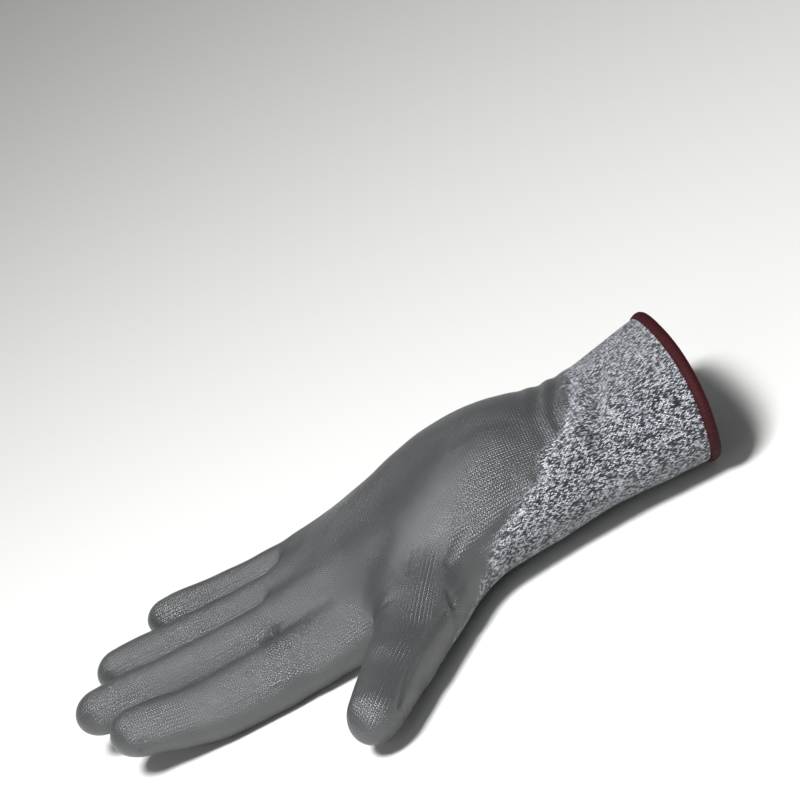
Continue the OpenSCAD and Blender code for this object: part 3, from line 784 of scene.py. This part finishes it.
rough = add(tree, "MapRange", Value=clouds, To_Min=0.24, To_Max=0.34)
shader = add(tree, "BsdfPrincipled", Base_Color=mixed.outputs[2],
             Normal=bump, Roughness=rough, Specular_IOR_Level=0.95)
add(tree, "OutputMaterial", Surface=shader)

bare = -1 - WRIST_ROWS
coat_points = np.concatenate([cuff[bare:-1], palm]).reshape(-1, 3)
coat_normals = np.concatenate([cuff_normals.reshape(cuff.shape)[bare:-1].reshape(-1, 3),
                               palm_normals])
coat_corners = quad_uv(np.concatenate([cuff_u[bare:-1], palm_edge_u]),
                       np.concatenate([cuff_v[bare:-1], palm_v]))
coat_kept = np.concatenate([np.ones(WRIST_ROWS * columns, bool), palm_kept])
palm_coat = coated("palm_polyurethane", coat_points, coat_normals,
                   quads(len(palm) + WRIST_ROWS, columns).reshape(-1, 4)[coat_kept],
                   coat_corners[coat_kept], film_on(coat_points))
palm_coat.data.materials.append(polyurethane)
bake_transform(palm_coat)
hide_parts("palm_coating", "thumb_root_coating")


# ---- Finger stalls --------------------------------------------------------------------------
# Each stall is a tube of the same knit, closed at its end by the machine, and dipped with the
# palm: its palm side, sides and tip are polyurethane, and its back is bare. It is made in three
# lengths whose rings meet exactly, cut between its knuckles.
STALL_RING = 9.0
ROW = 1.2
TURN_ROWS = 12
DOME_ROWS = 13
STITCH_STRETCH = 1.38


def tube(loop, centre, across, ahead, start, ring_at, dome_at, turn_rows):
    """Rows of points from a closed loop to a dome's pole. The first rows aim at points between
    the loop and the ring at ring_at, in turn_rows steps; then rings square to the tube follow,
    and the dome's rows fan forward. Every point lies where its ray from the centre line leaves
    the glove. Returns the points and each row's distance along."""
    n = len(loop)
    even = np.arange(n) * 2 * np.pi / n
    spoke = loop - centre(np.full(n, start))
    seen = np.unwrap(np.arctan2(spoke @ across[0], spoke @ across[1]))
    angle = even + np.mean(seen - even)
    side = np.sin(angle)[:, None] * across[0] + np.cos(angle)[:, None] * across[1]
    ring = reach(centre(np.full(n, ring_at)), side)
    k = np.linspace(0, 1, turn_rows + 1)[1:, None]
    targets = loop + (ring - loop) * k[..., None]
    origins = np.broadcast_to(centre(start + (ring_at - start) * k), targets.shape)
    spread = targets - origins
    turned = reach(origins, spread / np.linalg.norm(spread, axis=-1, keepdims=True))
    s = np.arange(1, int((dome_at - ring_at) / ROW) + 1) * ROW + ring_at
    s += (dome_at - s[-1]) * (s - ring_at) / (s[-1] - ring_at)
    tubes = reach(centre(s)[:, None], np.broadcast_to(side, (len(s), n, 3)))
    lift = np.sin(np.linspace(0, np.pi / 2, DOME_ROWS + 1)[1:])[:, None, None]
    level = np.sqrt(np.maximum(1 - lift ** 2, 0))
    fan = side * level + ahead * lift
    dome = reach(centre(np.full((len(lift), 1), dome_at)), fan)
    rows = np.concatenate([loop[None], turned, tubes, dome])
    along = np.concatenate([[start], start + (ring_at - start) * k[:, 0], s,
                            dome_at + ROW * np.arange(1, DOME_ROWS + 1)])
    return rows, along


def lengths_uv(rows, level_row, stretch):
    """A stall's stitch map in real mm times stretch: u is the length round each ring from the
    column opposite its first, and v the length along each column from the level row."""
    round_step = np.linalg.norm(np.roll(rows, -1, axis=1) - rows, axis=-1)
    u = np.concatenate([np.zeros((len(rows), 1)), np.cumsum(round_step, axis=1)], 1)
    u -= u[:, rows.shape[1] // 2, None]
    along_step = np.linalg.norm(np.diff(rows, axis=0), axis=-1)
    v = np.concatenate([np.zeros((1, rows.shape[1])), np.cumsum(along_step, axis=0)])
    return u * stretch, v - v[level_row]


def stall_piece(name, rows, u, v, first, last, slot_nodes, palm_map=None):
    """One length of a stall between two rows, in knit and in polyurethane.
    palm_map is the palm's own u and v carried on over the stall, and how far each point joins."""
    closes = last == len(rows) - 1
    part, u, v = rows[first:last + 1], u[first:last + 1], v[first:last + 1]
    n = part.shape[1]
    faces = quads(len(part) - 1 if closes else len(part), n).reshape(-1, 4)
    corners = quad_uv(u[:-1], v[:-1]) if closes else quad_uv(u, v)
    stored = {}
    if palm_map is not None:
        palm_u_on, palm_v_on, joins = (values[first:last + 1] for values in palm_map)
        corners = np.concatenate([corners, quad_uv(palm_u_on, palm_v_on)], -1)
        stored["joins_palm"] = joins.ravel()
    caps = cap_corners = None
    if closes:
        ring = (len(part) - 2) * n + np.arange(n)
        caps = np.stack([ring, (len(part) - 2) * n + (np.arange(n) + 1) % n,
                         np.full(n, (len(part) - 1) * n)], -1)
        cap_corners = pole_uv(u[-2], v[-2], v[-1])
    points = part.reshape(-1, 3)
    normals = outward(points)
    film = film_on(points)
    shell = walled(name + "_knit_shell", points, points - WALL * normals, normals, faces,
                   [corners] + ([cap_corners] if closes else []), caps, **stored)
    shell.data.materials.append(knit)
    skin = coated(name + "_polyurethane", points, normals, faces, corners, film,
                  caps, cap_corners, **stored)
    skin.data.materials.append(polyurethane)
    for piece, nodes in ((shell, slot_nodes[0]), (skin, slot_nodes[1])):
        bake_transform(piece)
        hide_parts(*nodes)


def web_line(x_at, y_at, z_at):
    """The saddle between two stalls, in the plane midway between them: rays fan from straight up
    round forward to straight down."""
    angle = np.linspace(0, np.pi, WEB_COLUMNS + 1)[1:-1]
    fan = np.stack([np.zeros_like(angle), np.sin(angle), np.cos(angle)], -1)
    return reach(np.array([x_at, y_at, z_at]), fan)


joints = {joint["name"]: joint for joint in frame["joints"]}
top_marks = np.concatenate([[0], np.cumsum(TOP_COLUMNS)])
top_count = top_marks[-1] + 1
front_ring, front_origin = palm[-1], palm_origin[-1]
bottom_start = top_count + LITTLE_CAP - 1
webs = [web_line(*front_origin[top_marks[k + 1]]) for k in range(3)]
for i, finger in enumerate(FINGERS):
    a, b = top_marks[i], top_marks[i + 1]
    top = np.arange(a, b + 1)
    bottom = bottom_start + (top_count - 1 - np.arange(b, a - 1, -1))
    if i < 3:
        right_side = webs[i]
    else:
        right_side = front_ring[top_count:bottom_start]
    if i > 0:
        left_side = webs[i - 1][::-1]
    else:
        left_side = front_ring[bottom_start + top_count:]
    loop = np.concatenate([front_ring[top], right_side, front_ring[bottom], left_side])
    half_round = (b - a) // 2
    loop = np.roll(loop, len(loop) // 2 - half_round, axis=0)
    loop_u = (np.arange(len(loop) + 1) - len(loop) // 2) * column_width + palm_u[a + half_round]
    yaw = SPREAD[i]
    length, diameter = STALLS[i, 3], STALLS[i, 4]
    forward = np.array([np.sin(yaw), np.cos(yaw), RISE])
    forward /= np.linalg.norm(forward)
    sideways = np.array([np.cos(yaw), -np.sin(yaw), 0.0])
    across = (sideways, np.cross(sideways, forward))
    dome_at = length - finger_radius(i, length) * FINGER_DOME
    rows, along = tube(loop, lambda s, i=i: finger_centre(i, np.asarray(s)), across, forward,
                          -4.0, STALL_RING, dome_at, TURN_ROWS)
    u, v = lengths_uv(rows, 0, STITCH_STRETCH)
    settled = ease(np.arange(len(rows)) / TURN_ROWS)[:, None]
    u = loop_u * (1 - settled) + (u + palm_u[a + half_round]) * settled
    v += rows[0, :, 1].mean()
    hinges = []
    for which in ("root", "middle", "end"):
        at = np.array(joints[f"{finger}_{which}_bend"]["pos_m"]) / MM
        hinges.append(float((at - STALLS[i, :3]) @ forward))
    zone = diameter / 2 * 0.95
    spans = [(1.0, hinges[0] + zone), (hinges[1] - zone * 0.9, hinges[1] + zone * 0.9),
             (hinges[2] - zone * 0.85, hinges[2] + zone * 0.85)]
    cuts = [0, *(int(np.argmin(np.abs(along - (spans[k][1] + spans[k + 1][0]) / 2)))
                 for k in range(2)), len(rows) - 1]
    for k, part in enumerate(("base", "middle", "tip")):
        ends = [STALLS[i, :3] + forward * s for s in spans[k]]
        stall_piece(f"{finger}_{part}", rows, u, v, cuts[k], cuts[k + 1],
                    ([f"{finger}_{part}_knit", f"{finger}_fold_{k + 1}"],
                     [f"{finger}_{part}_coating"]))


# ---- Thumb stall ----------------------------------------------------------------------------
# The thumb's stall is knitted from the palm's side and stands out from it, turned so that its
# pad faces the fingers. It widens at its root to go round the ball of the thumb. It is made in
# two lengths, cut between its root and its end knuckle.
THUMB_START, THUMB_RING = 6.0, 36.0
THUMB_TURN_ROWS = 26
JOIN_ROWS = 15
hole_top = first_hole + np.arange(last_hole - first_hole + 1)
hole_side = np.arange(HOLE_ROWS[0], HOLE_ROWS[1] + 1)
loop_row = np.concatenate([np.full(len(hole_top), HOLE_ROWS[1]), hole_side[::-1][1:],
                           np.full(len(hole_top) - 1, HOLE_ROWS[0]), hole_side[1:-1]])
loop_column = np.concatenate([hole_top, np.full(len(hole_side) - 1, last_hole),
                              hole_top[::-1][1:], np.full(len(hole_side) - 2, first_hole)])
thumb_loop = palm[loop_row, loop_column]
THUMB_ALONG = THUMB_AXES[:, 1]
thumb_across = (THUMB_AXES[:, 0], THUMB_AXES[:, 2])
spoke = thumb_loop - thumb_centre(np.array(THUMB_START))
spoke_turn = np.unwrap(np.arctan2(spoke @ thumb_across[0], spoke @ thumb_across[1]))
if spoke_turn[-1] < spoke_turn[0]:
    thumb_loop, loop_row, loop_column = thumb_loop[::-1], loop_row[::-1], loop_column[::-1]
thumb_dome = THUMB_LENGTH - THUMB_RADII[-1, 1] * THUMB_DOME
rows, along = tube(thumb_loop, lambda s: thumb_centre(np.asarray(s)), thumb_across,
                      THUMB_ALONG, THUMB_START, THUMB_RING, thumb_dome, THUMB_TURN_ROWS)
u, v = lengths_uv(rows, THUMB_TURN_ROWS, STITCH_STRETCH)
mid_step, step_by = (rows[1:] + rows[:-1]) / 2, np.diff(rows, axis=0)
facing = outward(mid_step)
round_way = np.cross(np.array([0.0, 1.0, 0.0]), facing)
round_way /= np.linalg.norm(round_way, axis=-1, keepdims=True)
back_way = np.cross(facing, round_way)
palm_u_on = np.concatenate([palm_edge_u[loop_row, loop_column][None],
                            STITCH_STRETCH * (step_by * round_way).sum(-1)]).cumsum(axis=0)
palm_u_on = np.concatenate([palm_u_on, palm_u_on[:, :1]], 1)
palm_v_on = np.concatenate([palm_v[loop_row, loop_column][None],
                            (step_by * back_way).sum(-1)]).cumsum(axis=0)
joins = np.broadcast_to(1 - ease(np.arange(len(rows)) / JOIN_ROWS)[:, None], rows.shape[:2])
hinges = [float((np.array(joints[f"thumb_{which}_bend"]["pos_m"]) / MM - THUMB_AT) @ THUMB_ALONG)
          for which in ("root", "end")]
spans = [(20.0, hinges[0] + 11.0), (hinges[1] - 10.5, hinges[1] + 10.5)]
cut = int(np.argmin(np.abs(along - (spans[0][1] + spans[1][0]) / 2)))
for name, first, last, pair, span, nodes in (
        ("thumb_base", 0, cut, ("palm", "thumb_base"), spans[0],
         (["thumb_base_knit", "thumb_fold_1"], ["thumb_base_coating"])),
        ("thumb_tip", cut, len(rows) - 1, ("thumb_base", "thumb_tip"), spans[1],
         (["thumb_tip_knit", "thumb_fold_2"], ["thumb_tip_coating"]))):
    ends = [THUMB_AT + THUMB_ALONG * s for s in span]
    palm_map = (palm_u_on, palm_v_on, joins) if first == 0 else None
    stall_piece(name, rows, u, v, first, last, nodes, palm_map)


# ---- Elastic yarns --------------------------------------------------------------------------
# Covered elastic yarn is laid into every few courses of the cuff, on its inside, and draws it
# in round the wrist. Each turn is a ring half sunk into the inner wall.
YARN_TURNS = 7
YARN_RADIUS = 0.42
YARN_SIDES = 8
cuff_normal_rows = cuff_normals.reshape(cuff.shape)
turn_rows = np.linspace(3, CUFF_ROWS - 14, YARN_TURNS).astype(int)
yarn_angle = np.arange(YARN_SIDES) * 2 * np.pi / YARN_SIDES
along_cuff = np.array([0.0, 1.0, 0.0])
yarn_points, yarn_faces = [], []
for k, row in enumerate(turn_rows):
    core = cuff[row] - (WALL + 0.15) * cuff_normal_rows[row]
    ring = core[None] + YARN_RADIUS * (
        np.sin(yarn_angle)[:, None, None] * cuff_normal_rows[row]
        + np.cos(yarn_angle)[:, None, None] * along_cuff)
    yarn_points.append(ring.reshape(-1, 3))
    r, c = np.meshgrid(np.arange(YARN_SIDES), np.arange(columns), indexing="ij")
    faces = np.stack([r * columns + c, r * columns + (c + 1) % columns,
                      (r + 1) % YARN_SIDES * columns + (c + 1) % columns,
                      (r + 1) % YARN_SIDES * columns + c], -1).reshape(-1, 4)
    yarn_faces.append(faces + k * YARN_SIDES * columns)


def plain_mesh(name, points, faces, corners=None):
    """A smooth mesh in metres from points in mm and one array of quads, with a UV if given."""
    mesh = bpy.data.meshes.new(name)
    mesh.from_pydata((points * MM).tolist(), [], faces.tolist())
    mesh.polygons.foreach_set("use_smooth", np.ones(len(faces), bool))
    if corners is not None:
        layer = mesh.uv_layers.new(name="stitches")
        layer.data.foreach_set("uv", corners.astype(np.float32).ravel())
    mesh.update()
    obj = bpy.data.objects.new(name, mesh)
    bpy.context.scene.collection.objects.link(obj)
    return obj


yarn = plain_mesh("cuff_elastic_yarn", np.concatenate(yarn_points), np.concatenate(yarn_faces))
covered, tree = new_material("covered_elastic_yarn")
# Elastane wound with polyester: off white, with the covering thread's fine turns.
place = add(tree, "TexCoord")
turns = add(tree, "TexWave", {"wave_type": "BANDS", "bands_direction": "DIAGONAL"},
            Vector=place.outputs["Object"], Scale=420.0, Distortion=1.0)
tone = add(tree, "Mix", {"data_type": "RGBA"}, Factor=turns.outputs["Fac"],
           i6=linear("#8f9195"), i7=linear("#d7d8da"))
bump = add(tree, "Bump", Height=turns.outputs["Fac"], Distance=0.0001, Strength=0.6)
shader = add(tree, "BsdfPrincipled", Base_Color=tone.outputs[2],
             Normal=bump, Roughness=0.6)
add(tree, "OutputMaterial", Surface=shader)
yarn.data.materials.append(covered)
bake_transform(yarn)
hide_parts("cuff_elastic")


# ---- Hem ------------------------------------------------------------------------------------
# The cuff's raw edge is overlocked: maroon threads wrap it close together, aslant, from
# about 3.5 mm up the outside round the edge to the inside. Their loops end in a saw edge on the knit.
THREAD_PITCH = 1.15
SAMPLES = 8
HEM_HALF_WIDTH = 2.0
HEM_HALF_THICK = 1.42
HEM_SHAPE = 2.4
THREAD_STANDS = 0.20
SECTION_POINTS = 26
edge, edge_normal = cuff[0], cuff_normal_rows[0]
inward = cuff[2] - cuff[0]
inward /= np.linalg.norm(inward, axis=-1, keepdims=True)
lengths = np.linalg.norm(np.roll(edge, -1, axis=0) - edge, axis=-1)
at = np.concatenate([[0], np.cumsum(lengths)])
threads = int(round(at[-1] / THREAD_PITCH))
hem_u = np.arange(threads * SAMPLES) * at[-1] / (threads * SAMPLES)


def round_edge(values):
    """A closed ring's values at hem_u, by straight lines between its points."""
    closed = np.concatenate([values, values[:1]])
    return np.stack([np.interp(hem_u, at, closed[:, k]) for k in range(3)], -1)


middle = round_edge(edge - WALL / 2 * edge_normal)
out_way, in_way = round_edge(edge_normal), round_edge(inward)
turn_round = np.arange(SECTION_POINTS) * 2 * np.pi / SECTION_POINTS
c, s = np.cos(turn_round)[:, None], np.sin(turn_round)[:, None]
lay = (np.arange(threads * SAMPLES) / SAMPLES)[None] + 0.55 * c
strand = np.abs(np.sin(np.pi * lay)) ** 0.7
saw = 0.35 * (1 - 2 * np.abs((lay % 1) - 0.5)) * ease(c)
uneven = 0.12 * np.sin(hem_u * 0.9) + 0.10 * np.sin(hem_u * 2.3 + 1.0)
a = 1.2 + np.sign(c) * np.abs(c) ** (2 / HEM_SHAPE) * (HEM_HALF_WIDTH + saw + 0.1 * strand)
h = np.sign(s) * np.abs(s) ** (2 / HEM_SHAPE) * (HEM_HALF_THICK + THREAD_STANDS * strand
                                                 + uneven[None] * 0.5)
hem_points = middle[None] + a[..., None] * in_way[None] + h[..., None] * out_way[None]
r, k = np.meshgrid(np.arange(SECTION_POINTS), np.arange(len(hem_u)), indexing="ij")
next_r, next_k = (r + 1) % SECTION_POINTS, (k + 1) % len(hem_u)
n = len(hem_u)
hem_faces = np.stack([r * n + k, next_r * n + k, next_r * n + next_k, r * n + next_k],
                     -1).reshape(-1, 4)
hem_corners = np.stack([
    np.stack([k, r], -1), np.stack([k, r + 1], -1),
    np.stack([k + 1, r + 1], -1), np.stack([k + 1, r], -1)], 2).reshape(-1, 2)
hem_corners = hem_corners / np.array([SAMPLES, SECTION_POINTS])
hem = plain_mesh("overlocked_hem", hem_points.reshape(-1, 3), hem_faces, hem_corners)

thread, tree = new_material("spun_polyester_overlock_thread")
# Dyed spun thread: deep maroon, with painted sheen lighter along each strand and painted shade darker
# between them.
uv = add(tree, "UVMap", {"uv_map": "stitches"})
stretch = add(tree, "Mapping", Vector=uv, Scale=(9.0, 3.0, 1.0))
twist = add(tree, "TexNoise", {"noise_dimensions": "2D"}, Vector=stretch,
            Scale=2.0, Detail=3.0)
# painted sheen and painted shade: the tone follows the bump's noise, lighter on raised strands,
# darker in the hollows
tone = add(tree, "ValToRGB", i0=twist)
tone.color_ramp.elements[0].position = 0.3
tone.color_ramp.elements[0].color = linear("#1d0306")
tone.color_ramp.elements[1].position = 0.75
tone.color_ramp.elements[1].color = linear("#470a11")
bump = add(tree, "Bump", Height=twist, Distance=0.00015, Strength=0.7)
shader = add(tree, "BsdfPrincipled", Base_Color=tone,
             Normal=bump, Roughness=0.6, Specular_IOR_Level=0.2)
add(tree, "OutputMaterial", Surface=shader)
hem.data.materials.append(thread)
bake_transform(hem)
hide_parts("cuff_hem")


# ---- Printed mark ---------------------------------------------------------------------------
# A plain mark of three bars is screen printed on the back of the hand, behind the knuckles. The
# ink lies on the tops of the stitches as a thin film with rounded ends.
BAR_LENGTHS = (34.0, 27.0, 20.0)
BAR_WIDTH, BAR_STEP = 4.2, 7.5
BARS_FROM_Y, BARS_X = 24.0, 2.0
INK_STANDS = 0.14
bar_points, bar_inner, bar_normals, bar_faces = [], [], [], []
across_count, along_count = 44, 9
for k, bar_length in enumerate(BAR_LENGTHS):
    p, q = np.meshgrid(np.linspace(-1, 1, along_count), np.linspace(1, -1, across_count),
                       indexing="ij")
    ends = bar_length / 2 - BAR_WIDTH / 2 + BAR_WIDTH / 2 * np.sqrt(np.clip(1 - p ** 2, 0, 1))
    start = np.stack([BARS_X + q * ends, BARS_FROM_Y + k * BAR_STEP + p * BAR_WIDTH / 2,
                      np.full_like(p, 14.0)], -1)
    ink_at = reach(start, np.broadcast_to(np.array([0.0, 0.0, -1.0]), start.shape))
    way = outward(ink_at)
    bar_faces.append(quads(along_count, across_count, closed=False).reshape(-1, 4)
                     + k * along_count * across_count)
    bar_points.append((ink_at + way * INK_STANDS).reshape(-1, 3))
    bar_inner.append((ink_at - way * 0.2).reshape(-1, 3))
    bar_normals.append(way.reshape(-1, 3))
bar_faces = np.concatenate(bar_faces)
bar_points, bar_inner, bar_normals = (np.concatenate(v) for v in
                                      (bar_points, bar_inner, bar_normals))
mark = walled("printed_back_mark", bar_points, bar_inner, bar_normals, bar_faces,
              [bar_points[bar_faces][..., :2]])
ink, tree = new_material("screen_printed_ink")
# Plastisol ink on knit: matt light grey, broken where the stitches dip.
height, colour, fibre = stitch_pattern(tree)
tone = add(tree, "Mix", {"data_type": "RGBA"}, Factor=fibre,
           i6=linear("#a9abad"), i7=linear("#d4d5d6"))
bump = add(tree, "Bump", Height=height, Distance=0.0002, Strength=0.7)
shader = add(tree, "BsdfPrincipled", Base_Color=tone.outputs[2],
             Normal=bump, Roughness=0.5)
add(tree, "OutputMaterial", Surface=shader)
mark.data.materials.append(ink)
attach(mark, "palm")
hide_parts("back_print")
